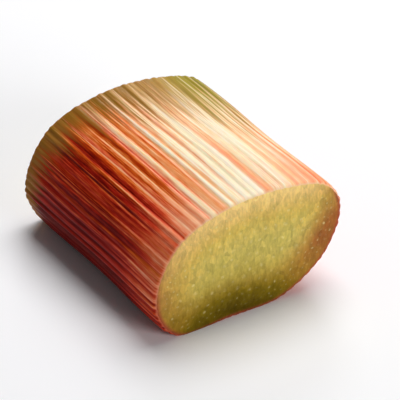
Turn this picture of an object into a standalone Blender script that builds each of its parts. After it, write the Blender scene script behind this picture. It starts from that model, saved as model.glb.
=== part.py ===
# One cut length of rhubarb stalk, lying on its flatter side.
# The stalk runs along Y, and the cut end at -Y is the one that faces the viewer.
# Lengths are in metres, +Z is up, and the origin is on the surface under the middle of the piece.

import bisect
import math
import random

import bmesh
import bpy
from mathutils import Vector

# Driving dimensions
WIDTH = 0.0330
HEIGHT = 0.0207
LENGTH = 0.0374

# The stalk narrows towards its leaf, so the far end is a little smaller than the near one.
FAR_END_SCALE = 0.98
# The knife went through the far end askew, which leaves the piece longer on its left side.
FAR_CUT_SLANT = math.tan(math.radians(3.5))

# Section, seen along +Y, as shares of half the width and of the height. It starts at the bottom
# left, climbs the left side, crosses the crown and comes back under the slanting right side.
SECTION = (
    (-0.73, 0.000),
    (-0.98, 0.240),
    (-0.96, 0.550),
    (-0.69, 0.850),
    (-0.14, 0.995),
    (0.45, 0.975),
    (0.86, 0.860),
    (1.00, 0.600),
    (0.81, 0.250),
    (0.34, 0.012),
    (-0.22, 0.000),
)
STEPS_PER_SPAN = 24

# Ribs: strands under the skin that stand out as ridges along the whole length. Each one sinks by
# up to the fade's share of its height somewhere along the way, at a place of its own.
RIB_WIDTHS = (0.0010, 0.0020)
RIB_HEIGHTS = (0.00008, 0.00026)
RIB_FADE = 0.35
RIB_SEED = 7

# A rib's outline from groove to groove: shares of its width and of its height
RIB_PROFILE = ((0.0, 0.0), (0.28, 0.5), (0.5, 1.0), (0.72, 0.5))

# The ribs underneath are pressed flat by this much where the piece rests.
SETTLE = 0.00025

# Long swells and hollows that keep the sides from being straight: waves from cut to cut, and
# lobes round the section
SWELL = 0.00012
SWELL_WAVES = 1.3
SWELL_LOBES = 2
STATIONS = 10

# The skin turns over the edge of each cut, and the flesh bulges a little past it.
RIM_INSET = 0.0009
RIM_RUN = 0.0012
RIM_STEPS = 3
FLESH_DOME = 0.0003
DOME_SHARE = 0.6

# The flesh meets the skin at an angle sharper than this.
EDGE_ANGLE = math.radians(50)

SKIN_COLOUR = (0.56, 0.10, 0.05, 1.0)
SKIN_ROUGHNESS = 0.38
FLESH_COLOUR = (0.50, 0.40, 0.08, 1.0)
FLESH_ROUGHNESS = 0.5


def smooth_loop(corners):
    """Points of a closed Catmull-Rom curve through the corners, with the length run up to each."""
    points = []
    count = len(corners)
    for i in range(count):
        before, start, end, after = (corners[(i + k) % count] for k in (-1, 0, 1, 2))
        for step in range(STEPS_PER_SPAN):
            t = step / STEPS_PER_SPAN
            points.append(
                0.5
                * (
                    2 * start
                    + (end - before) * t
                    + (2 * before - 5 * start + 4 * end - after) * t**2
                    + (3 * start - before - 3 * end + after) * t**3
                )
            )
    lengths = [0.0]
    for a, b in zip(points, points[1:] + points[:1]):
        lengths.append(lengths[-1] + (b - a).length)
    return points, lengths


def point_at(loop, distance):
    """The place on the loop that is this far round it, and the direction that faces outwards there."""
    points, lengths = loop
    i = bisect.bisect_right(lengths, distance % lengths[-1]) - 1
    start, end = points[i], points[(i + 1) % len(points)]
    share = (distance % lengths[-1] - lengths[i]) / (lengths[i + 1] - lengths[i])
    along = (end - start).normalized()
    return start.lerp(end, share), Vector((-along.y, along.x))


def rib_layout(girth):
    """(start, width, height, phase) of each rib round the section, with widths that fill the girth."""
    draw = random.Random(RIB_SEED)
    widths = []
    while sum(widths) < girth:
        widths.append(draw.uniform(*RIB_WIDTHS))
    fit = girth / sum(widths)
    ribs = []
    start = 0.0
    for width in widths:
        ribs.append((start, width * fit, draw.uniform(*RIB_HEIGHTS), draw.random()))
        start += width * fit
    return ribs


def section_points():
    """(place, outward direction, rib height, rib phase) of each point round the section."""
    loop = smooth_loop([Vector((x * WIDTH / 2, z * HEIGHT)) for x, z in SECTION])
    around = []
    for start, width, height, phase in rib_layout(loop[1][-1]):
        for across, raised in RIB_PROFILE:
            place, outward = point_at(loop, start + across * width)
            around.append((place, outward, height * raised, phase))
    return around


def ring(around, share, inset=0.0, past_cut=0.0, shrink=1.0):
    """One loop of the skin. share is 0 at the near cut and 1 at the far one.

    inset draws it inwards, past_cut moves it out of the piece along Y, and shrink scales it
    towards the middle of the section.
    """
    taper = 1.0 + (FAR_END_SCALE - 1.0) * share
    middle = Vector((0.0, HEIGHT / 2))
    rib_left = 1.0 - inset / RIM_INSET
    loop = []
    for i, (place, outward, rib, phase) in enumerate(around):
        turn = 2 * math.pi * i / len(around)
        swell = SWELL * math.sin(2 * math.pi * SWELL_WAVES * share + SWELL_LOBES * turn)
        fade = 1.0 - RIB_FADE * math.sin(math.pi * (share + phase)) ** 2
        flat = place + outward * (rib * fade * rib_left + swell - inset)
        flat = middle + (flat - middle) * shrink
        x, z = flat.x * taper, (flat.y - SETTLE) * taper
        near = -LENGTH / 2 + RIM_RUN
        far = LENGTH / 2 - RIM_RUN - x * FAR_CUT_SLANT
        y = near + (far - near) * share
        y += past_cut if share == 1.0 else -past_cut
        loop.append(Vector((x, y, max(z, 0.0))))
    return loop


def rim_rings(around, share):
    """The rounded edge of one cut and the low dome of its flesh, from the skin inwards."""
    rings = []
    for step in range(1, RIM_STEPS + 1):
        angle = math.pi / 2 * step / RIM_STEPS
        rings.append(
            ring(
                around,
                share,
                inset=RIM_INSET * (1 - math.cos(angle)),
                past_cut=RIM_RUN * math.sin(angle),
            )
        )
    rings.append(ring(around, share, RIM_INSET, RIM_RUN + FLESH_DOME, DOME_SHARE))
    return rings


def principled(name, colour, roughness):
    material = bpy.data.materials.new(name)
    material.use_nodes = True
    shader = material.node_tree.nodes["Principled BSDF"]
    shader.inputs["Base Color"].default_value = colour
    shader.inputs["Roughness"].default_value = roughness
    material.diffuse_color = colour
    return material


def stalk_mesh():
    """The skin lofted from cut to cut, closed by the flesh of both cuts."""
    around = section_points()
    near = rim_rings(around, 0.0)
    far = rim_rings(around, 1.0)
    body = [ring(around, i / STATIONS) for i in range(STATIONS + 1)]
    loops = list(reversed(near)) + body + far

    model = bmesh.new()
    rows = [[model.verts.new(point) for point in loop] for loop in loops]
    for row, following in zip(rows, rows[1:]):
        for i in range(len(row)):
            j = (i + 1) % len(row)
            model.faces.new((row[i], row[j], following[j], following[i]))
    caps = [model.faces.new(rows[0]), model.faces.new(rows[-1])]
    bmesh.ops.recalc_face_normals(model, faces=model.faces)

    flesh_rows = {*rows[0], *rows[1], *rows[-2], *rows[-1]}
    for face in model.faces:
        face.material_index = int(face in caps or all(v in flesh_rows for v in face.verts))

    mesh = bpy.data.meshes.new("rhubarb_stalk")
    model.to_mesh(mesh)
    model.free()
    return mesh


def centre_on_origin(mesh):
    """Puts the middle of the footprint's box on the origin."""
    for axis in (0, 1):
        values = [vertex.co[axis] for vertex in mesh.vertices]
        middle = (min(values) + max(values)) / 2
        for vertex in mesh.vertices:
            vertex.co[axis] -= middle


def build():
    for obj in list(bpy.data.objects):
        bpy.data.objects.remove(obj)
    parts = bpy.data.collections.new("rhubarb_stalk_piece")
    bpy.context.scene.collection.children.link(parts)

    mesh = stalk_mesh()
    centre_on_origin(mesh)
    mesh.materials.append(principled("rhubarb_skin", SKIN_COLOUR, SKIN_ROUGHNESS))
    mesh.materials.append(principled("rhubarb_flesh", FLESH_COLOUR, FLESH_ROUGHNESS))
    mesh.shade_smooth()
    mesh.set_sharp_from_angle(angle=EDGE_ANGLE)
    parts.objects.link(bpy.data.objects.new("rhubarb_stalk", mesh))


build()
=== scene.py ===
import math
import random

import bmesh
import bpy
import numpy as np
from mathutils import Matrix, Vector, noise
from mathutils.geometry import delaunay_2d_cdt


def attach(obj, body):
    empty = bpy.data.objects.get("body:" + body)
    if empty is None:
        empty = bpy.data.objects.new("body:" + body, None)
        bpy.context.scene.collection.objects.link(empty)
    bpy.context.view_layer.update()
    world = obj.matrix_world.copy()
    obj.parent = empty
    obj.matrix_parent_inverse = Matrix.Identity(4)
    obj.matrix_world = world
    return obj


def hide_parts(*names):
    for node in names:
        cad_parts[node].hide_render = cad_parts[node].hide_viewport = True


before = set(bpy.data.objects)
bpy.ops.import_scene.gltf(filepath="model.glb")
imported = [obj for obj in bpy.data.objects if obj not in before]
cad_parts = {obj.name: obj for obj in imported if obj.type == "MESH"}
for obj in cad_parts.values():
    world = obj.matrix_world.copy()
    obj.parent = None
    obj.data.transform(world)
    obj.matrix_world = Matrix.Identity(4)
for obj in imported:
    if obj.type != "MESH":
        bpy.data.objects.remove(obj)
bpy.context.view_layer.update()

mm = 0.001
print("frame: the packed stalk is loaded")

# The stalk lies along Y with its viewed cut at -Y. Its section is seen along +Y, as shares of half
# the width and of the height, from the bottom left up the left side and over the crown. Beside each
# corner stand how red the skin is at the near cut, further along and at the far cut, from cream at 0
# to crimson at 1, how many millimetres the green of the far cut reaches into it, and how brown the
# flesh is under it. The redness holds painted shade: low on the left side it is darker, and darker
# away from the near cut, and paler at the near cut as painted light. Where the flesh is least brown,
# at the crown, a painted band of light shows in the cut.
stalk = {
    "width": 33.0 * mm,
    "height": 20.7 * mm,
    "length": 37.4 * mm,
    "farEndScale": 0.98,                            # it narrows towards its leaf
    "farCutSlant": math.tan(math.radians(3.5)),     # the knife went through the far end askew
    "section": (
        (-0.73, 0.000, 1.05, 1.50, 1.50, 2.6, 1.15),
        (-0.98, 0.240, 0.98, 1.48, 1.50, 2.8, 0.85),
        (-0.96, 0.550, 0.74, 1.24, 1.24, 3.6, 0.36),
        (-0.69, 0.850, 0.54, 0.97, 1.02, 5.4, 0.10),
        (-0.14, 0.995, 0.25, 0.36, 0.50, 8.6, 0.00),
        (0.45, 0.975, 0.23, 0.12, 0.17, 12.2, 0.00),
        (0.86, 0.860, 0.43, 0.28, 0.30, 16.0, 0.26),
        (1.00, 0.600, 0.80, 0.75, 0.75, 13.0, 1.20),
        (0.81, 0.250, 1.00, 1.00, 1.00, 6.0, 1.90),
        (0.34, 0.012, 0.90, 0.95, 0.95, 4.0, 1.10),
        (-0.22, 0.000, 0.96, 1.00, 1.00, 4.0, 0.85),
    ),
    "stepsPerSpan": 24,                             # points of the curve between two corners
    "nearReach": 13.0 * mm,                         # how far the near cut's redness tells, paler there as painted light on the low left side
    "farReach": 20.0 * mm,                          # and that of the far one
    "settle": 0.25 * mm,                            # soft ribs pressed flat underneath
    "swell": 0.12 * mm,                             # long swells that keep the sides from being straight
    "swellWaves": 1.3,                              # from cut to cut
    "swellLobes": 2,                                # round the section
    "rowSpacing": 0.42 * mm,
}

# Ribs are the strands under the skin. The same seeded draw lays them out as on the solid.
ribs = {
    "widths": (1.0 * mm, 2.0 * mm),
    "heights": (0.08 * mm, 0.26 * mm),
    "fade": 0.35,                                   # how much of its height a rib loses on the way
    "seed": 7,
    "roundness": 1.35,                              # below 2 gives round crests and narrow grooves
    "pointSpacing": 0.145 * mm,
    "toneSeed": 12,
    "creaseShare": 0.22,                            # so many of the grooves are split deeper
    "creaseDepth": 0.035 * mm,
    "creaseWidth": 0.25,                            # how far it reaches into the rib, as a share
}

# Strands are the finer threads on each rib, as (size across, size along, height).
strands = (
    (0.45 * mm, 30.0 * mm, 0.045 * mm),
    (0.22 * mm, 9.0 * mm, 0.016 * mm),
)

# Lines are the boldest marks of the skin: long pale strands with red ones between them. Each is
# given by its place, as millimetres round the section from the bottom left corner, its width in
# millimetres, and how much paler it is, or redder below 0.
lines = {
    "bold": (
        (13.0, 1.0, 0.05),
        (14.5, 0.7, -0.05),
        (16.3, 0.7, 0.10),
        (18.2, 0.6, 0.06),
        (20.5, 0.8, 0.02),
        (21.6, 0.6, -0.02),
        (22.4, 0.6, 0.10),
        (23.1, 0.5, -0.10),
        (24.0, 0.9, 0.13),
        (25.2, 0.6, 0.12),
        (26.5, 0.8, 0.24),
        (27.4, 0.6, 0.03),
        (28.2, 0.7, -0.06),
        (29.8, 0.7, 0.24),
        (30.4, 0.7, -0.07),
        (33.2, 4.6, 0.17),
        (36.3, 0.9, -0.18),
        (38.5, 2.6, 0.06),
        (41.0, 0.9, -0.04),
    ),
    "randomOutside": (12.0, 42.5),                  # before and past these places they are random
    "seed": 5,
    "widths": (0.4, 0.8),
    "pale": (0.00, 0.16),                           # tones on the crests
    "red": (-0.12, 0.0),                            # and in the grooves
    "standOut": 0.20 * mm,                          # how high a line stands for a tone of 1
    # Lines fade and grow on their way with noise: its size across and along, its range, and how much
    "fading": (0.8 * mm, 14 * mm, (0.3, 0.7), 0.45),
    "farFade": (10.0, 24.0, 0.55),                  # left of them 10 mm from the far cut, all at 24 mm
}

# At each cut the skin turns over the edge and the flesh bulges a little past it.
cut = {
    "rimInset": 0.6 * mm,
    "rimRun": 0.8 * mm,
    "rimSteps": 9,
    "skinSteps": 6,                                 # so many of them still are skin
    "dome": 0.3 * mm,
    "domeReach": 4.5 * mm,
    "knifeWaves": ((0.035 * mm, 6.5 * mm), (0.012 * mm, 2.1 * mm)),     # height and size
    "waveStretch": 0.5,                             # they are twice as long up the cut
    "waveReach": 1.5 * mm,                          # and fade out so near to the rim
    "pointSpacing": 0.42 * mm,
    "rowShare": 0.87,                               # of that between the rows, for even triangles
    "innerLoop": 0.25 * mm,
    "greenAndShadeAt": (-2.2 * mm, -0.5 * mm),              # the middle of the deep green and painted shade low in the cut
    "greenReach": (24.0 * mm, 13.2 * mm),
}

# Bundles are the veins of the stalk, which a cut shows as pale raised dots. They are small and
# close together under the skin, and larger and further apart in the middle.
bundles = {
    "seed": 31,
    "tries": 9000,
    "spacing": (0.72 * mm, 1.40 * mm),
    "radius": (0.14 * mm, 0.28 * mm),
    "radiusSpread": (0.75, 1.25),                   # each one's, as a share of that
    "depths": (1.1 * mm, 6.0 * mm),                 # from the skin to the first ones and to the largest
    "firstSpread": (0.75, 1.10),                    # where the first ones start, as a share of that
    "faintest": 0.2,
    "stretch": 1.7,                                 # the longest is so many times as long as wide
    "raised": 0.035 * mm,
    "slope": (1.6, 0.35),                           # foot and top of a dot, in radii
    "halo": (0.7, 1.3, 1.4, 2.6),                   # where its dark ring begins, is full, fades, ends
    "rings": ((0.55, 6), (1.0, 10), (1.6, 10)),     # of mesh points round it: radii and how many
    "clear": 1.9,                                   # no other points so near, in radii
}


def smoothStep(low, high, value):
    share = np.clip((np.asarray(value, float) - low) / (high - low), 0.0, 1.0)
    return share * share * (3 - 2 * share)


def between(limits, share):
    return limits[0] + (limits[1] - limits[0]) * share


def closedCurve(corners, steps):
    # Catmull-Rom through every column at once, so the redness runs along with the outline
    points = []
    for i in range(len(corners)):
        before, start, end, after = (corners[(i + k) % len(corners)] for k in (-1, 0, 1, 2))
        for t in np.arange(steps) / steps:
            points.append(
                0.5 * (2 * start + (end - before) * t
                       + (2 * before - 5 * start + 4 * end - after) * t**2
                       + (3 * start - before - 3 * end + after) * t**3)
            )
    points.append(points[0])
    points = np.array(points)
    runs = np.linalg.norm(np.diff(points[:, :2], axis=0), axis=1)
    return points, np.concatenate(([0.0], np.cumsum(runs)))


def ribLayout(girth):
    # Start, width, height and phase of each rib round the section
    draw = random.Random(ribs["seed"])
    widths = []
    while sum(widths) < girth:
        widths.append(draw.uniform(*ribs["widths"]))
    fit = girth / sum(widths)
    layout, start = [], 0.0
    for width in widths:
        layout.append((start, width * fit, draw.uniform(*ribs["heights"]), draw.random()))
        start += width * fit
    return layout


def lineTones(distance, layout):
    draw = random.Random(lines["seed"])
    first, last = lines["randomOutside"]
    drawn = list(lines["bold"])
    for rib in layout:
        start, width = rib[:2]
        for place, tones in ((start, "red"), (start + width / 2, "pale")):
            mark = (place / mm, draw.uniform(*lines["widths"]), draw.uniform(*lines[tones]))
            if not first < mark[0] < last:
                drawn.append(mark)
    tone = np.zeros(len(distance))
    for place, width, amount in drawn:
        away = np.abs(distance / mm - place)
        tone += amount * smoothStep(width, 0.0, away)
    return tone


def sectionPoints():
    # Every point round the section, with what the skin is like along it
    scale = np.array([stalk["width"] / 2, stalk["height"]] + [1.0] * 5)
    curve, lengths = closedCurve(np.array(stalk["section"]) * scale, stalk["stepsPerSpan"])
    layout = ribLayout(lengths[-1])
    toneDraw = random.Random(ribs["toneSeed"])
    tones = [toneDraw.random() for _ in layout]
    creases = [toneDraw.random() < ribs["creaseShare"] for _ in layout]
    rows = []
    for k, (start, width, height, phase) in enumerate(layout):
        count = round(width / ribs["pointSpacing"])
        following = (k + 1) % len(layout)
        for step in range(count):
            across = step / count
            crease = 0.0
            if creases[k]:
                crease = max(crease, 1 - across / ribs["creaseWidth"])
            if creases[following]:
                crease = max(crease, 1 - (1 - across) / ribs["creaseWidth"])
            rows.append((start + across * width, (k + across) / len(layout), across, height, phase,
                         tones[k], crease))
    distance, turn, across, height, phase, tone, crease = np.array(rows).T
    place = np.stack([np.interp(distance, lengths, curve[:, i]) for i in (0, 1)], axis=1)
    nearBlushAndLight, blush, farBlushAndShade, greenReach, buff = (
        np.interp(distance, lengths, curve[:, i]) for i in (2, 3, 4, 5, 6)
    )
    along = np.roll(place, -1, axis=0) - np.roll(place, 1, axis=0)
    along /= np.linalg.norm(along, axis=1)[:, None]
    return {
        "turn": 2 * math.pi * turn,
        "place": place,
        "outward": np.stack([-along[:, 1], along[:, 0]], axis=1),
        "crest": np.sin(math.pi * across) ** ribs["roundness"],
        "height": height,
        "phase": phase,
        "tone": tone,
        "crease": crease,
        "line": lineTones(distance, layout),
        "nearBlushAndLight": nearBlushAndLight,
        "blush": blush,
        "farBlushAndShade": farBlushAndShade,
        "greenReach": greenReach,
        "buff": buff,
    }


def rednessAndShade(around, fromNear):
    # The redness along the stalk carries painted shade: on the low left side it darkens away from the
    # near cut and is paler, as painted light, at it.
    near = smoothStep(stalk["nearReach"], 0.0, fromNear)
    far = smoothStep(stalk["length"] - stalk["farReach"], stalk["length"], fromNear)
    blush = around["blush"]
    return blush + (around["nearBlushAndLight"] - blush) * near + (around["farBlushAndShade"] - blush) * far


def strandHeights(around, y):
    heights = np.zeros(len(around["place"]))
    for across, along, height in strands:
        heights += height * np.array([
            noise.noise(Vector((x / across, z / across, y / along)))
            for x, z in around["place"]
        ])
    return heights


def ring(around, share, inset=0.0, pastCut=0.0):
    # One loop of points from the near cut, share 0, to the far cut, share 1. inset draws it inwards
    # and pastCut moves it out along Y, as the rim needs.
    taper = between((1.0, stalk["farEndScale"]), share)
    ribLeft = 1.0 - inset / cut["rimInset"]
    phase = 2 * math.pi * stalk["swellWaves"] * share
    swell = stalk["swell"] * np.sin(phase + stalk["swellLobes"] * around["turn"])
    fade = 1.0 - ribs["fade"] * np.sin(math.pi * (share + around["phase"])) ** 2
    relief = around["height"] * around["crest"] * fade
    relief += strandHeights(around, share * stalk["length"])
    relief += lines["standOut"] * around["line"] - ribs["creaseDepth"] * around["crease"]
    flat = around["place"] + around["outward"] * (relief * ribLeft + swell - inset)[:, None]
    x = flat[:, 0] * taper
    z = (flat[:, 1] - stalk["settle"]) * taper
    near = -stalk["length"] / 2 + cut["rimRun"]
    far = stalk["length"] / 2 - cut["rimRun"] - x * stalk["farCutSlant"]
    y = near + (far - near) * share + (pastCut if share == 1.0 else -pastCut)
    return np.stack([x, y, np.maximum(z, 0.0)], axis=1)


def insideOutline(outline, points):
    inside = np.zeros(len(points), bool)
    for (x1, z1), (x2, z2) in zip(outline, np.roll(outline, -1, axis=0)):
        if z1 == z2:
            continue
        crosses = (z1 > points[:, 1]) != (z2 > points[:, 1])
        inside ^= crosses & (points[:, 0] < x1 + (x2 - x1) * (points[:, 1] - z1) / (z2 - z1))
    return inside


def nearestOutline(outline, points):
    gaps = np.linalg.norm(points[:, None, :] - outline[None, :, :], axis=2)
    return gaps.min(axis=1), gaps.argmin(axis=1)


def placeBundles(outline, seed):
    # Place, radius, strength, turn and stretch of each bundle in one cut
    draw = np.random.default_rng(seed)
    low, high = outline.min(axis=0), outline.max(axis=0)
    tries = low + draw.random((bundles["tries"], 2)) * (high - low)
    tries = tries[insideOutline(outline, tries)]
    near, deep = bundles["depths"]
    kept = []
    for point, depth in zip(tries, nearestOutline(outline, tries)[0]):
        share = float(smoothStep(near, deep, depth))
        spacing = between(bundles["spacing"], share)
        if depth < near * between(bundles["firstSpread"], draw.random()):
            continue
        if all(math.hypot(point[0] - vein[0], point[1] - vein[1]) > spacing for vein in kept):
            radius = between(bundles["radius"], share)
            strength = between((bundles["faintest"], 1), draw.random() ** 2)
            radius *= between(bundles["radiusSpread"], draw.random())
            kept.append((point[0], point[1], radius, strength, math.pi * draw.random(),
                         bundles["stretch"] ** (draw.random() / 2)))
    return np.array(kept)


def cutFace(outline, seed):
    # Fills one cut with fine triangles: the outline, a loop just inside it, rings round each
    # bundle, and a loose lattice between them
    veins = placeBundles(outline, seed)
    points = [outline]
    inward = np.roll(outline, -1, axis=0) - np.roll(outline, 1, axis=0)
    inward /= np.linalg.norm(inward, axis=1)[:, None]
    inward = np.stack([inward[:, 1], -inward[:, 0]], axis=1)
    points.append((outline + inward * cut["innerLoop"])[::2])
    for share, count in bundles["rings"]:
        turns = 2 * math.pi * np.arange(count) / count + share
        circle = np.stack([np.cos(turns), np.sin(turns)], axis=1) * share
        points.append((veins[:, None, :2] + circle[None] * veins[:, None, 2:3]).reshape(-1, 2))
    points.append(veins[:, :2])
    low, high = outline.min(axis=0), outline.max(axis=0)
    gap = cut["pointSpacing"]
    xs, zs = np.meshgrid(np.arange(low[0], high[0], gap),
                         np.arange(low[1], high[1], gap * cut["rowShare"]))
    xs[1::2] += gap / 2
    lattice = np.stack([xs.ravel(), zs.ravel()], axis=1)
    lattice = lattice[insideOutline(outline, lattice)]
    lattice = lattice[nearestOutline(outline, lattice)[0] > cut["innerLoop"] * 2]
    away = np.linalg.norm(lattice[:, None] - veins[None, :, :2], axis=2)
    clear = (away > veins[None, :, 2] * bundles["clear"]).all(axis=1)
    points.append(lattice[clear])
    points = np.concatenate(points)
    # The triangulation works best near unit size. It keeps the triangles inside the outline, which
    # is its one face.
    onlyInside, mergeWithin = 1, 1e-6
    found = delaunay_2d_cdt([Vector(point / mm) for point in points],
                            [], [list(range(len(outline)))], onlyInside, mergeWithin)
    faces, origins = found[2:4]
    order = [origin[0] for origin in origins]
    return points, veins, [[order[i] for i in face] for face in faces]


def cutHeights(points, depths, veins):
    # How far each point of the cut stands out of it, and how much of it is bundle or ring
    height = cut["dome"] * smoothStep(0.0, cut["domeReach"], depths)
    for amount, size in cut["knifeWaves"]:
        waves = [noise.noise(Vector((x / size, z / size * cut["waveStretch"], size / mm)))
                 for x, z in points]
        height += amount * np.array(waves) * smoothStep(0.0, cut["waveReach"], depths)
    x, z = np.moveaxis(points[:, None] - veins[None, :, :2], 2, 0)
    radius, strength, turn, stretch = veins[:, 2:].T
    along = (x * np.cos(turn) + z * np.sin(turn)) / stretch
    across = (z * np.cos(turn) - x * np.sin(turn)) * stretch
    away = np.hypot(along, across) / radius
    strength = strength[away.argmin(axis=1)]
    away = away.min(axis=1)
    vein = smoothStep(*bundles["slope"], away) * strength
    begin, full, fading, end = bundles["halo"]
    halo = smoothStep(begin, full, away) * smoothStep(end, fading, away) * strength
    return height + bundles["raised"] * vein, vein, halo


def lowGreenAndShade(points):
    # The flesh is a deeper green low in the middle of the section, and darker there as painted shade.
    x, z = ((points - cut["greenAndShadeAt"]) / cut["greenReach"]).T
    return smoothStep(1.0, 0.0, np.hypot(x, z))


def skinLoops(around):
    # Every loop from the near cut to the far one, with how far past the skin's edge it lies, how far
    # it is from the far cut and how red it is, painted shade included
    angles = np.arange(1, cut["rimSteps"] + 1) * math.pi / 2 / cut["rimSteps"]
    skinEnd = angles[cut["skinSteps"] - 1]
    rimRadius = math.sqrt((cut["rimInset"] ** 2 + cut["rimRun"] ** 2) / 2)
    stations = round(stalk["length"] / stalk["rowSpacing"])
    steps = [("near", angle) for angle in angles[::-1]]
    steps += [("body", i / stations) for i in range(stations + 1)]
    steps += [("far", angle) for angle in angles]
    loops = []
    for part, value in steps:
        if part == "body":
            points = ring(around, value)
            edge = min(value, 1 - value) * (stalk["length"] - 2 * cut["rimRun"])
            fromRim = -edge - skinEnd * rimRadius
            fromFar = (1 - value) * stalk["length"]
        else:
            inset = cut["rimInset"] * (1 - math.cos(value))
            points = ring(around, float(part == "far"), inset, cut["rimRun"] * math.sin(value))
            fromRim = (value - skinEnd) * rimRadius
            fromFar = 0.0 if part == "far" else stalk["length"]
        loops.append({
            "points": points,
            "fromRim": fromRim,
            "fromFar": fromFar,
            "blush": rednessAndShade(around, stalk["length"] - fromFar),
            "isSkin": part == "body" or value <= skinEnd,
        })
    return loops


# What the section's points hand on to the materials, next to what the loops and cuts add
aroundFields = ("crest", "crease", "line", "tone", "greenReach", "buff")


def skinPart(around, loops):
    # Points, faces, material slots and fields of the skin and both rims
    count = len(around["place"])
    faces, slots = [], []
    for r, (loop, following) in enumerate(zip(loops, loops[1:])):
        for i in range(count):
            j = (i + 1) % count
            faces.append((r * count + i, r * count + j, (r + 1) * count + j, (r + 1) * count + i))
        slots += [0 if loop["isSkin"] and following["isSkin"] else 1] * count
    points = np.concatenate([loop["points"] for loop in loops])
    # The grain's coordinates follow the smooth section, so that patterns ignore the ribs.
    section = np.tile(around["place"], (len(loops), 1))
    fields = {name: np.tile(around[name], len(loops)) for name in aroundFields}
    fields["grain"] = np.stack([section[:, 0], points[:, 1], section[:, 1]], axis=1)
    fields["fromRim"] = np.repeat([loop["fromRim"] / mm for loop in loops], count)
    fields["fromFar"] = np.repeat([loop["fromFar"] / mm for loop in loops], count)
    fields["blush"] = np.concatenate([loop["blush"] for loop in loops])
    fields["vein"] = np.zeros(len(points))
    fields["halo"] = np.zeros(len(points))
    fields["low"] = lowGreenAndShade(points[:, [0, 2]])
    print("stalk: skin and rims,", len(points), "points")
    return points, faces, slots, fields


def fleshPart(around, rim, side, seed):
    # Points, faces and fields of the flesh in one cut. Its first points are the rim's own.
    outline = rim["points"][:, [0, 2]]
    places, veins, faces = cutFace(outline, seed)
    depths, nearest = nearestOutline(outline, places)
    height, vein, halo = cutHeights(places, depths, veins)
    if side == "near":
        y = -stalk["length"] / 2 - height
    else:
        y = stalk["length"] / 2 - places[:, 0] * stalk["farCutSlant"] + height
    points = np.stack([places[:, 0], y, places[:, 1]], axis=1)
    fields = {name: around[name][nearest] for name in aroundFields}
    fields["grain"] = points
    fields["fromRim"] = (rim["fromRim"] + depths) / mm
    fields["fromFar"] = np.full(len(points), rim["fromFar"] / mm)
    fields["blush"] = rim["blush"][nearest]
    fields["vein"] = vein
    fields["halo"] = halo
    fields["low"] = lowGreenAndShade(places)
    print("stalk:", side, "cut,", len(veins), "bundles,", len(faces), "triangles")
    return points, faces, fields


def stalkMesh(points, faces, slots, fields):
    mesh = bpy.data.meshes.new("rhubarb")
    low, high = points.min(axis=0), points.max(axis=0)
    points[:, :2] -= (low[:2] + high[:2]) / 2
    mesh.from_pydata(points.tolist(), [], faces)
    mesh.polygons.foreach_set("material_index", slots)
    whole = bmesh.new()
    whole.from_mesh(mesh)
    bmesh.ops.recalc_face_normals(whole, faces=whole.faces)
    whole.to_mesh(mesh)
    whole.free()
    for name, values in fields.items():
        kind, key = ("FLOAT", "value") if values.ndim == 1 else ("FLOAT_VECTOR", "vector")
        field = mesh.attributes.new(name, kind, "POINT")
        field.data.foreach_set(key, values.astype(np.float32).ravel())
    mesh.shade_smooth()
    return mesh


def buildStalk():
    around = sectionPoints()
    loops = skinLoops(around)
    points, faces, slots, fields = skinPart(around, loops)
    count = len(around["place"])
    for side, row, seed in (("near", 0, bundles["seed"]), ("far", -1, bundles["seed"] + 1)):
        fleshPoints, fleshFaces, fleshFields = fleshPart(around, loops[row], side, seed)
        numbers = np.concatenate([
            np.arange(count) + (row % len(loops)) * count,              # the rim's own points
            np.arange(len(fleshPoints) - count) + len(points),          # and the new ones
        ])
        faces += [tuple(int(numbers[i]) for i in face) for face in fleshFaces]
        slots += [1] * len(fleshFaces)
        points = np.concatenate([points, fleshPoints[count:]])
        for name in fields:
            fields[name] = np.concatenate([fields[name], fleshFields[name][count:]])
    piece = bpy.data.objects.new("rhubarb", stalkMesh(points, faces, slots, fields))
    bpy.context.scene.collection.objects.link(piece)
    return piece


def hexColour(code):
    channels = [int(code[i:i + 2], 16) / 255 for i in (1, 3, 5)]
    return (*(c / 12.92 if c <= 0.04045 else ((c + 0.055) / 1.055) ** 2.4 for c in channels), 1.0)


def addNode(tree, kind, settings=None, links=None):
    node = tree.nodes.new("ShaderNode" + kind)
    for name, value in (settings or {}).items():
        if name == "stops":                         # a colour ramp's places and colours
            ramp = node.color_ramp.elements
            while len(ramp) < len(value):
                ramp.new(1.0)
            for stop, (place, colour) in zip(ramp, value):
                stop.position, stop.color = place, hexColour(colour)
        else:
            setattr(node, name, value)
    for name, value in (links or {}).items():
        socket = next(s for s in node.inputs if name in (s.identifier, s.name))
        if isinstance(value, bpy.types.NodeSocket):
            tree.links.new(value, socket)
        else:
            socket.default_value = value
    return {socket.identifier: socket for socket in node.outputs}


def startMaterial(name, uniform, fieldNames=()):
    # A Principled BSDF with its uniform values, and the socket of each field of the mesh
    material = bpy.data.materials.new(name)
    material.use_nodes = True
    tree = material.node_tree
    shader = tree.nodes["Principled BSDF"]
    for socket, value in uniform.items():
        shader.inputs[socket].default_value = value
    fields = {
        field: addNode(tree, "Attribute", {"attribute_name": field})["Fac"] for field in fieldNames
    }
    return material, tree, shader, fields


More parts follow.
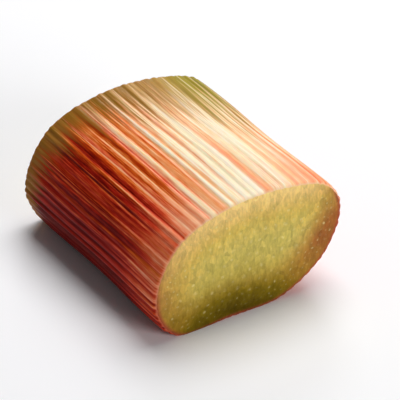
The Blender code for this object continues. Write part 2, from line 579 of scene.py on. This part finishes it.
# Rhubarb skin, as grown: red pigment lies in streaks between the paler strands, under a thin waxy
# layer that gives it a soft satin shine.
skin = {
    "orange": (                                     # streaks over yellow tissue, dark to pale
        (0.00, "#640a02"),
        (0.14, "#8c1a03"),
        (0.30, "#b63606"),
        (0.46, "#d85e1c"),
        (0.58, "#ea803e"),
        (0.70, "#f4a066"),
        (0.82, "#fabe8a"),
        (0.92, "#fddaac"),
        (1.00, "#fdebc8"),
    ),
    "pink": (                                       # streaks over white tissue
        (0.00, "#640804"),
        (0.14, "#901308"),
        (0.30, "#bc2a16"),
        (0.46, "#dc4e2c"),
        (0.58, "#ec7248"),
        (0.70, "#f69870"),
        (0.82, "#fab58a"),
        (0.92, "#fdd6b4"),
        (1.00, "#fdebd4"),
    ),
    "level": 0.99,                                  # how pale the skin is before all patterns
    # How much the redness darkens the skin, its painted shade on the low left side with it
    "rednessAndShade": -0.66,
    "palest": (1.17, -0.42),                        # how pale it may get on cream, and less on red
    "palestSoftness": 0.12,
    # Streaks of pigment: size across and along the stalk, and how much they tell
    "streaks": (
        (1.7 * mm, 120 * mm, 0.30),
        (0.8 * mm, 5 * mm, 0.30),
        (0.58 * mm, 50 * mm, 0.60),
        (0.29 * mm, 9 * mm, 0.60),
        (0.21 * mm, 2.2 * mm, 0.50),
    ),
    # Pale threads and dark ones: size across and along, the noise at which they show, tone, seed
    "threads": ((0.34 * mm, 34 * mm, 0.57, 0.24, 2.4), (0.30 * mm, 26 * mm, 0.60, -0.15, -1.5)),
    "threadEdge": (-0.04, 0.06),                    # a thread is not there yet, and full, so far from it
    # Crests are paler: pale strands run on them, and painted light where crests catch it
    "crest": 0.14,
    "crestMean": 0.6,                               # taken off, so that crests leave the mean alone
    "ribTone": 0.27,
    # The deeper split grooves are darker on the red skin: painted shade in them
    "crease": -0.09,                                # this and the dark threads fade out with the red
    # How strong the pattern is: the field it goes by, its range there, and the strength at each end
    "strengths": (
        ("blush", "LINEAR", (0.1, 0.9), (0.32, 1.0)),       # calm on cream
        ("blush", "LINEAR", (1.0, 1.45), (1.0, 0.42)),      # and where it is reddest
        ("fromFar", "SMOOTHSTEP", (24.0, 34.0), (1.0, 0.62)),       # and beside the near cut
    ),
    # Which of the two ramps: the size of its patches, and the noise between which it changes over
    "hue": (0.9 * mm, 70 * mm, (0.46, 0.68)),
    "nearPink": ((20.0, 37.0), 0.22),               # millimetres from the far cut, and how much pinker
    "lowPink": ((1.0, 1.3), 0.20),                  # redness, and how much pinker
    "margin": ("#a26e2c", "#86601a", "#c29250"),    # the far cut's green, from the dark to the pale skin
    "lime": ("#4c4400", "#766c02", "#a2921e"),      # where it reaches far
    "limeReach": (11.0, 14.0),
    "marginStops": (0.1, 0.6, 1.0),
    "marginRagged": (2.1, 2.0),                     # by the fine streaks and by the broader ones
    "marginBlend": 1.5,
    "marginShare": 0.97,
    "lip": ((0.4, "#f6d4a6"), (1.0, "#d07a58")),    # at the cuts, where the skin is pale and red
    "lipReach": 0.45,
    "lipShare": 0.65,
    "roughness": (0.46, 0.26),                      # in the dark grooves, and on the pale strands
    "roughnessRange": (0.1, 0.9),                   # how pale those are
    "threadDepth": 0.06 * mm,
    "fleckDepth": 0.6,                              # as a share of the threads'
    "bump": 0.7,
    "shader": {
        "IOR": 1.40,                                # plant cells full of water
        "Specular IOR Level": 0.03,
        "Coat Weight": 0.08,                        # the wax
        "Coat Roughness": 0.16,
        "Coat IOR": 1.4,
        "Subsurface Weight": 0.35,
        "Subsurface Radius": (1.0, 0.5, 0.2),
        "Subsurface Scale": 0.9 * mm,
    },
}


def grownStreaks(tree, grain, size, detail, seed=0.0):
    # Noise stretched along the stalk. A size below 0 mirrors it and a seed shifts it, so that no
    # two patterns match.
    stretched = addNode(tree, "VectorMath", {"operation": "MULTIPLY"},
                        {"Vector": grain, "Vector_001": [1 / length for length in size]})["Vector"]
    return addNode(tree, "TexNoise", {"noise_dimensions": "4D" if seed else "3D"},
                   {"Vector": stretched, "W": seed, "Scale": 1.0, "Detail": detail})["Fac"]


def skinPatterns(tree, fields):
    # The streaks of pigment alone, and every pattern with its amount
    streaks, patterns = [], []
    for across, along, amount in skin["streaks"]:
        streaks.append(grownStreaks(tree, fields["grain"], (across, along, across), detail=1.5))
        patterns.append((streaks[-1], amount))
    for across, along, least, amount, seed in skin["threads"]:
        thread = grownStreaks(tree, fields["grain"], (across, -along, across), detail=1.0, seed=seed)
        thread = addNode(tree, "MapRange", {"interpolation_type": "SMOOTHSTEP"},
                         {"Value": thread, "From Min": least + skin["threadEdge"][0],
                          "From Max": least + skin["threadEdge"][1]})["Result"]
        if amount < 0:
            thread = addNode(tree, "Math", {"operation": "MULTIPLY"},
                             {"Value": thread, "Value_001": fields["blush"]})["Value"]
        patterns.append((thread, amount))
    patterns += [(fields["crest"], skin["crest"]), (fields["tone"], skin["ribTone"])]
    return streaks, patterns


def fadingLine(tree, fields):
    # The bold lines, which fade and grow on their way and are fainter towards the far cut
    across, along, (low, high), amount = lines["fading"]
    fade = grownStreaks(tree, fields["grain"], (-across, along, across), detail=1.0)
    fade = addNode(tree, "MapRange", None,
                   {"Value": fade, "From Min": low, "From Max": high, "To Min": 1 - amount,
                    "To Max": 1 + amount})["Result"]
    near, far, left = lines["farFade"]
    farFade = addNode(tree, "MapRange", {"interpolation_type": "SMOOTHSTEP"},
                      {"Value": fields["fromFar"], "From Min": near, "From Max": far,
                       "To Min": left})["Result"]
    line = fields["line"]
    for source in (fade, farFade):
        line = addNode(tree, "Math", {"operation": "MULTIPLY"},
                       {"Value": line, "Value_001": source})["Value"]
    return line


def skinPaleness(tree, fields, patterns):
    # How pale the skin is at each point, from crimson at 0 to cream at 1
    strength = 1.0
    for name, kind, (low, high), (least, most) in skin["strengths"]:
        source = addNode(tree, "MapRange", {"interpolation_type": kind},
                         {"Value": fields[name], "From Min": low, "From Max": high,
                          "To Min": least, "To Max": most})["Result"]
        strength = addNode(tree, "Math", {"operation": "MULTIPLY"},
                           {"Value": source, "Value_001": strength})["Value"]
    # The patterns are centred on 0. Noise and the ribs' tones lie about a half.
    middle = (sum(streak[-1] for streak in skin["streaks"]) + skin["ribTone"]) / 2
    pale = -middle - skin["crestMean"] * skin["crest"]
    for source, amount in patterns:
        pale = addNode(tree, "Math", {"operation": "MULTIPLY_ADD"},
                       {"Value": source, "Value_001": amount, "Value_002": pale})["Value"]
    pale = addNode(tree, "Math", {"operation": "MULTIPLY_ADD"},
                   {"Value": pale, "Value_001": strength, "Value_002": skin["level"]})["Value"]
    # painted shade in the deeper split grooves, on the red skin only
    crease = addNode(tree, "Math", {"operation": "MULTIPLY"},
                     {"Value": fields["crease"], "Value_001": fields["blush"]})["Value"]
    for source, amount in ((fields["blush"], skin["rednessAndShade"]), (crease, skin["crease"]),
                           (fadingLine(tree, fields), 1.0)):
        pale = addNode(tree, "Math", {"operation": "MULTIPLY_ADD"},
                       {"Value": source, "Value_001": amount, "Value_002": pale})["Value"]
    palest = addNode(tree, "Math", {"operation": "MULTIPLY_ADD"},
                     {"Value": fields["blush"], "Value_001": skin["palest"][1],
                      "Value_002": skin["palest"][0]})["Value"]
    return addNode(tree, "Math", {"operation": "SMOOTH_MIN"},
                   {"Value": pale, "Value_001": palest,
                    "Value_002": skin["palestSoftness"]})["Value"]


def pigmentColour(tree, fields, pale):
    # Orange and pink streaks in patches, and pinker near the near cut and low on the red side
    across, along, (orangeTo, pinkFrom) = skin["hue"]
    hue = grownStreaks(tree, fields["grain"], (across, along, across), detail=2.0)
    (low, high), amount = skin["nearPink"]
    near = addNode(tree, "MapRange", {"interpolation_type": "SMOOTHSTEP"},
                   {"Value": fields["fromFar"], "From Min": low, "From Max": high, "To Min": 0.0,
                    "To Max": amount})["Result"]
    near = addNode(tree, "Math", {"operation": "MULTIPLY"},
                   {"Value": near, "Value_001": fields["blush"]})["Value"]
    (low, high), amount = skin["lowPink"]
    deep = addNode(tree, "MapRange", {"interpolation_type": "SMOOTHSTEP"},
                   {"Value": fields["blush"], "From Min": low, "From Max": high, "To Min": 0.0,
                    "To Max": amount})["Result"]
    for source in (near, deep):
        hue = addNode(tree, "Math", None, {"Value": hue, "Value_001": source})["Value"]
    hue = addNode(tree, "MapRange", {"interpolation_type": "SMOOTHSTEP"},
                  {"Value": hue, "From Min": orangeTo, "From Max": pinkFrom})["Result"]
    orange, pink = (
        addNode(tree, "ValToRGB", {"stops": skin[name]}, {"Fac": pale})["Color"]
        for name in ("orange", "pink")
    )
    return addNode(tree, "Mix", {"data_type": "RGBA"},
                   {"Factor_Float": hue, "A_Color": orange, "B_Color": pink})["Result_Color"]


def greenMargin(tree, fields, pale, streaks):
    # The green that shows through near the far cut, and how much of it, with a ragged edge that
    # follows the streaks
    ragged = addNode(tree, "Math", {"operation": "DIVIDE"},
                     {"Value": fields["fromFar"], "Value_001": fields["greenReach"]})["Value"]
    for source, amount in zip(streaks, skin["marginRagged"]):
        ragged = addNode(tree, "Math", {"operation": "MULTIPLY_ADD"},
                         {"Value": source, "Value_001": amount, "Value_002": ragged})["Value"]
    middle = sum(skin["marginRagged"]) / 2
    share = addNode(tree, "MapRange", {"interpolation_type": "SMOOTHSTEP"},
                    {"Value": ragged, "From Min": middle, "From Max": middle + skin["marginBlend"],
                     "To Min": skin["marginShare"], "To Max": 0.0})["Result"]
    olive, lime = (
        addNode(tree, "ValToRGB", {"stops": tuple(zip(skin["marginStops"], skin[name]))},
                {"Fac": pale})["Color"]
        for name in ("margin", "lime")
    )
    low, high = skin["limeReach"]
    reaching = addNode(tree, "MapRange", None,
                       {"Value": fields["greenReach"], "From Min": low, "From Max": high})["Result"]
    green = addNode(tree, "Mix", {"data_type": "RGBA"},
                    {"Factor_Float": reaching, "A_Color": olive, "B_Color": lime})["Result_Color"]
    return share, green


def skinMaterial():
    material, tree, shader, fields = startMaterial(
        "rhubarb skin grown", skin["shader"],
        ("blush", "crest", "tone", "crease", "line", "greenReach", "fromFar", "fromRim"),
    )
    fields["grain"] = addNode(tree, "Attribute", {"attribute_name": "grain"})["Vector"]
    streaks, patterns = skinPatterns(tree, fields)
    broad, fine, fleck = streaks[-3:]
    pale = skinPaleness(tree, fields, patterns)
    colour = pigmentColour(tree, fields, pale)
    lip = addNode(tree, "MapRange", {"interpolation_type": "SMOOTHSTEP"},
                  {"Value": fields["fromRim"], "From Min": -skin["lipReach"], "From Max": 0.0,
                   "To Min": 0.0, "To Max": skin["lipShare"]})["Result"]
    lipColour = addNode(tree, "ValToRGB", {"stops": skin["lip"]}, {"Fac": fields["blush"]})["Color"]
    for share, tint in (greenMargin(tree, fields, pale, (fine, broad)), (lip, lipColour)):
        colour = addNode(tree, "Mix", {"data_type": "RGBA"},
                         {"Factor_Float": share, "A_Color": colour,
                          "B_Color": tint})["Result_Color"]
    tree.links.new(colour, shader.inputs["Base Color"])

    (low, high), (dark, light) = skin["roughnessRange"], skin["roughness"]
    rough = addNode(tree, "MapRange", None,
                    {"Value": pale, "From Min": low, "From Max": high, "To Min": dark,
                     "To Max": light})["Result"]
    tree.links.new(rough, shader.inputs["Roughness"])
    threads = addNode(tree, "Math", {"operation": "MULTIPLY_ADD"},
                      {"Value": fleck, "Value_001": skin["fleckDepth"], "Value_002": fine})["Value"]
    bump = addNode(tree, "Bump", None,
                   {"Strength": skin["bump"], "Distance": skin["threadDepth"],
                    "Height": threads})["Normal"]
    tree.links.new(bump, shader.inputs["Normal"])
    return material


# Rhubarb flesh, knife cut: juicy open cells, yellow green in the middle and buff under the skin,
# with pale veins. It glistens a little, and light sinks into it.
flesh = {
    "ramp": (                                       # from the skin to the middle
        (0.00, "#d6ac58"),
        (0.25, "#dab658"),
        (0.50, "#dcbe5c"),
        (0.75, "#d7c064"),
        (1.00, "#ccba60"),
    ),
    "fullDepth": 8.5,
    "mottle": (2.2 * mm, 0.9),                      # size, and how much it shifts the ramp
    "grains": (0.42 * mm, 0.6),
    # Bands inside the skin: colour, how deep they reach, and how much of them shows at the skin
    "rimPaintedLight": ("#ffda8c", 4.8, 0.9),               # painted light: cream at the top of the cut, where light falls from above
    "rimRed": ("#a0602a", 8.6, 0.85),               # brown at the right and left
    "skinLine": ("#a84634", 0.85, 0.9),             # the red edge
    "paleBuff": 0.4,                                # there is no painted light where the flesh is so brown
    "lineBuff": (0.2, 0.8),                         # and the red edge comes in between these
    # Deeper green low in the cut, darkening toward the bottom as painted shade
    "deepGreenAndShade": ((0.20, "#bca034"), (0.55, "#8c7410"), (0.95, "#5c4a00")),
    "deepRagged": 0.35,
    "deepFull": 0.7,
    "vein": "#e2d595",
    "veinShare": (0.15, 0.75),                      # between the grains and on them
    "veinGrains": (0.35, 0.62),
    "veinDim": 0.3,                                 # what is left in the deepest green and painted shade
    "halo": "#93882f",
    "haloShare": 0.16,
    # Patches of cells and fibres: size across and along the height, and how much they differ in
    # lightness
    "tissue": (0.80 * mm, 1.20 * mm, 0.32),
    "fibre": (0.36 * mm, 1.00 * mm, 0.60),
    "roughness": (0.30, 0.50),                      # in the wet hollows, and on the drier grains
    "roughnessRange": (0.3, 0.7),                   # of the grains' noise
    "cell": 0.28 * mm,                              # real cells are half this, too fine to show
    "cellDepth": 0.05 * mm,
    "bump": 0.8,
    "shader": {
        "IOR": 1.38,                                # juice, a little denser than water
        "Specular IOR Level": 0.08,
        "Subsurface Weight": 0.3,
        "Subsurface Radius": (1.0, 0.7, 0.25),
        "Subsurface Scale": 1.2 * mm,
    },
}


def fleshGround(tree, fields, mottle, grains):
    # From buff under the skin to yellow green in the middle, broken up by both noises
    shift = (flesh["mottle"][1] + flesh["grains"][1]) / 2
    depth = addNode(tree, "MapRange", None,
                    {"Value": fields["fromRim"], "From Min": 0.0, "From Max": flesh["fullDepth"],
                     "To Min": -shift, "To Max": 1 - shift})["Result"]
    for source, name in ((mottle, "mottle"), (grains, "grains")):
        depth = addNode(tree, "Math", {"operation": "MULTIPLY_ADD"},
                        {"Value": source, "Value_001": flesh[name][1],
                         "Value_002": depth})["Value"]
    return addNode(tree, "ValToRGB", {"stops": flesh["ramp"]}, {"Fac": depth})["Color"]


def fleshLayers(tree, fields, mottle, grains):
    # What lies over the ground colour, from the bottom up: how much of it shows, and its colour
    # Painted light: a cream band at the top of the cut, where the flesh is least brown
    top = addNode(tree, "MapRange", None,
                  {"Value": fields["buff"], "From Min": 0.0, "From Max": flesh["paleBuff"],
                   "To Min": 1.0, "To Max": 0.0})["Result"]
    red = addNode(tree, "MapRange", {"interpolation_type": "SMOOTHSTEP"},
                  {"Value": fields["buff"], "From Min": flesh["lineBuff"][0],
                   "From Max": flesh["lineBuff"][1]})["Result"]
    bands = []
    for name, source in (("rimPaintedLight", top), ("rimRed", fields["buff"]), ("skinLine", red)):
        code, reach, share = flesh[name]
        band = addNode(tree, "MapRange", {"interpolation_type": "SMOOTHSTEP"},
                       {"Value": fields["fromRim"], "From Min": 0.0, "From Max": reach,
                        "To Min": share, "To Max": 0.0})["Result"]
        band = addNode(tree, "Math", {"operation": "MULTIPLY"},
                       {"Value": band, "Value_001": source})["Value"]
        bands.append((band, hexColour(code)))
    rimPaintedLight, rimRed, skinLine = bands

    (low, high), (least, most) = flesh["veinGrains"], flesh["veinShare"]
    vein = addNode(tree, "MapRange", {"interpolation_type": "SMOOTHSTEP"},
                   {"Value": grains, "From Min": low, "From Max": high, "To Min": least,
                    "To Max": most})["Result"]
    dim = addNode(tree, "MapRange", None,
                  {"Value": fields["low"], "To Min": 1.0, "To Max": flesh["veinDim"]})["Result"]
    for source in (fields["vein"], dim):
        vein = addNode(tree, "Math", {"operation": "MULTIPLY"},
                       {"Value": vein, "Value_001": source})["Value"]
    halo = addNode(tree, "Math", {"operation": "MULTIPLY"},
                   {"Value": fields["halo"], "Value_001": flesh["haloShare"]})["Value"]

    # The deep green low in the cut, partly flesh colour and partly painted shade
    ragged = addNode(tree, "Math", {"operation": "MULTIPLY_ADD"},
                     {"Value": mottle, "Value_001": flesh["deepRagged"],
                      "Value_002": -flesh["deepRagged"] / 2})["Value"]
    low = addNode(tree, "Math", None, {"Value": fields["low"], "Value_001": ragged})["Value"]
    deepGreenAndShade = addNode(tree, "ValToRGB", {"stops": flesh["deepGreenAndShade"]}, {"Fac": low})["Color"]
    low = addNode(tree, "MapRange", None, {"Value": low, "From Max": flesh["deepFull"]})["Result"]
    return (rimPaintedLight, rimRed, (low, deepGreenAndShade), (halo, hexColour(flesh["halo"])),
            (vein, hexColour(flesh["vein"])), skinLine)


def fleshMaterial():
    material, tree, shader, fields = startMaterial(
        "rhubarb flesh knife cut", flesh["shader"], ("buff", "fromRim", "vein", "halo", "low"),
    )
    place = addNode(tree, "TexCoord")["Object"]
    mottle = addNode(tree, "TexNoise", None,
                     {"Vector": place, "Scale": 1 / flesh["mottle"][0], "Detail": 5.0,
                      "Roughness": 0.65})["Fac"]
    grains = addNode(tree, "TexNoise", None,
                     {"Vector": place, "Scale": 1 / flesh["grains"][0], "Detail": 2.0})["Fac"]
    colour = fleshGround(tree, fields, mottle, grains)
    for share, tint in fleshLayers(tree, fields, mottle, grains):
        colour = addNode(tree, "Mix", {"data_type": "RGBA"},
                         {"Factor_Float": share, "A_Color": colour,
                          "B_Color": tint})["Result_Color"]
    for name, kind, output in (("tissue", "TexVoronoi", "Color"), ("fibre", "TexNoise", "Fac")):
        across, along, differ = flesh[name]
        stretched = addNode(tree, "VectorMath", {"operation": "MULTIPLY"},
                            {"Vector": place, "Vector_001": (1 / across, 1 / across, 1 / along)})
        patches = addNode(tree, kind, None, {"Vector": stretched["Vector"], "Scale": 1.0})[output]
        bright = addNode(tree, "MapRange", None,
                         {"Value": patches, "To Min": 1 - differ / 2,
                          "To Max": 1 + differ / 2})["Result"]
        colour = addNode(tree, "VectorMath", {"operation": "SCALE"},
                         {"Vector": colour, "Scale": bright})["Vector"]
    tree.links.new(colour, shader.inputs["Base Color"])

    (low, high), (wet, dry) = flesh["roughnessRange"], flesh["roughness"]
    rough = addNode(tree, "MapRange", None,
                    {"Value": grains, "From Min": low, "From Max": high, "To Min": wet,
                     "To Max": dry})["Result"]
    tree.links.new(rough, shader.inputs["Roughness"])
    cells = addNode(tree, "TexVoronoi", None,
                    {"Vector": place, "Scale": 1 / flesh["cell"]})["Distance"]
    bump = addNode(tree, "Bump", None,
                   {"Strength": flesh["bump"], "Distance": flesh["cellDepth"],
                    "Height": cells})["Normal"]
    tree.links.new(bump, shader.inputs["Normal"])
    return material


piece = buildStalk()
piece.data.materials.append(skinMaterial())
piece.data.materials.append(fleshMaterial())
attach(piece, "root")
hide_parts("rhubarb_stalk")
print("stalk: built and finished")

# A pale sheet of card under soft lamps
studio = {
    "floorSize": 3.0,
    "card": {"Base Color": hexColour("#fafafc"), "Roughness": 0.9},
    "world": 0.11,
    "lamps": (
        # name, watts, size across and place; each is aimed at the stalk
        ("overhead", 3.4, 0.50, (0.22, 0.15, 0.59)),
        ("front", 2.1, 0.36, (0.12, -0.68, 0.30)),
        ("back", 1.1, 0.25, (0.36, 0.55, 0.42)),
    ),
}


def buildStudio():
    half = studio["floorSize"] / 2
    mesh = bpy.data.meshes.new("floor")
    mesh.from_pydata([(-half, -half, 0), (half, -half, 0), (half, half, 0), (-half, half, 0)],
                     [], [(0, 1, 2, 3)])
    mesh.materials.append(startMaterial("card matt white", studio["card"])[0])
    floor = bpy.data.objects.new("floor", mesh)
    bpy.context.scene.collection.objects.link(floor)

    world = bpy.data.worlds.new("studio")
    world.use_nodes = True
    sky = world.node_tree.nodes["Background"]
    sky.inputs["Color"].default_value = (1.0, 1.0, 1.0, 1.0)
    sky.inputs["Strength"].default_value = studio["world"]
    bpy.context.scene.world = world
    for name, watts, size, place in studio["lamps"]:
        lamp = bpy.data.lights.new(name, "AREA")
        lamp.energy, lamp.shape, lamp.size = watts, "DISK", size
        holder = bpy.data.objects.new(name, lamp)
        holder.location = place
        holder.rotation_euler = (-Vector(place)).to_track_quat("-Z", "Y").to_euler()
        bpy.context.scene.collection.objects.link(holder)
    bpy.context.scene.view_settings.view_transform = "Standard"


buildStudio()
print("studio: floor, sky and lamps")

# The camera looks from the photograph's side and height, close enough for the stalk to fill the
# frame. The aim is where the frame's middle falls, right of and above the middle of the footprint.
camera = {
    "azimuth": math.radians(-32.9),
    "elevation": math.radians(33.8),
    "distance": 0.8,
    "frameWidth": 61.25 * mm,
    "aimRight": 2.97 * mm,
    "aimUp": 7.80 * mm,
    "sensor": 36.0,
}


def buildCamera():
    a, e = camera["azimuth"], camera["elevation"]
    back = Vector((math.sin(a) * math.cos(e), -math.cos(a) * math.cos(e), math.sin(e)))
    right = Vector((math.cos(a), math.sin(a), 0.0))
    up = back.cross(right)
    aim = right * camera["aimRight"] + up * camera["aimUp"]
    view = bpy.data.cameras.new("camera")
    view.sensor_width = camera["sensor"]
    view.lens = camera["sensor"] * camera["distance"] / camera["frameWidth"]
    holder = bpy.data.objects.new("camera", view)
    holder.location = aim + back * camera["distance"]
    holder.rotation_euler = (-back).to_track_quat("-Z", "Y").to_euler()
    bpy.context.scene.collection.objects.link(holder)
    bpy.context.scene.camera = holder


buildCamera()
print("camera: placed")
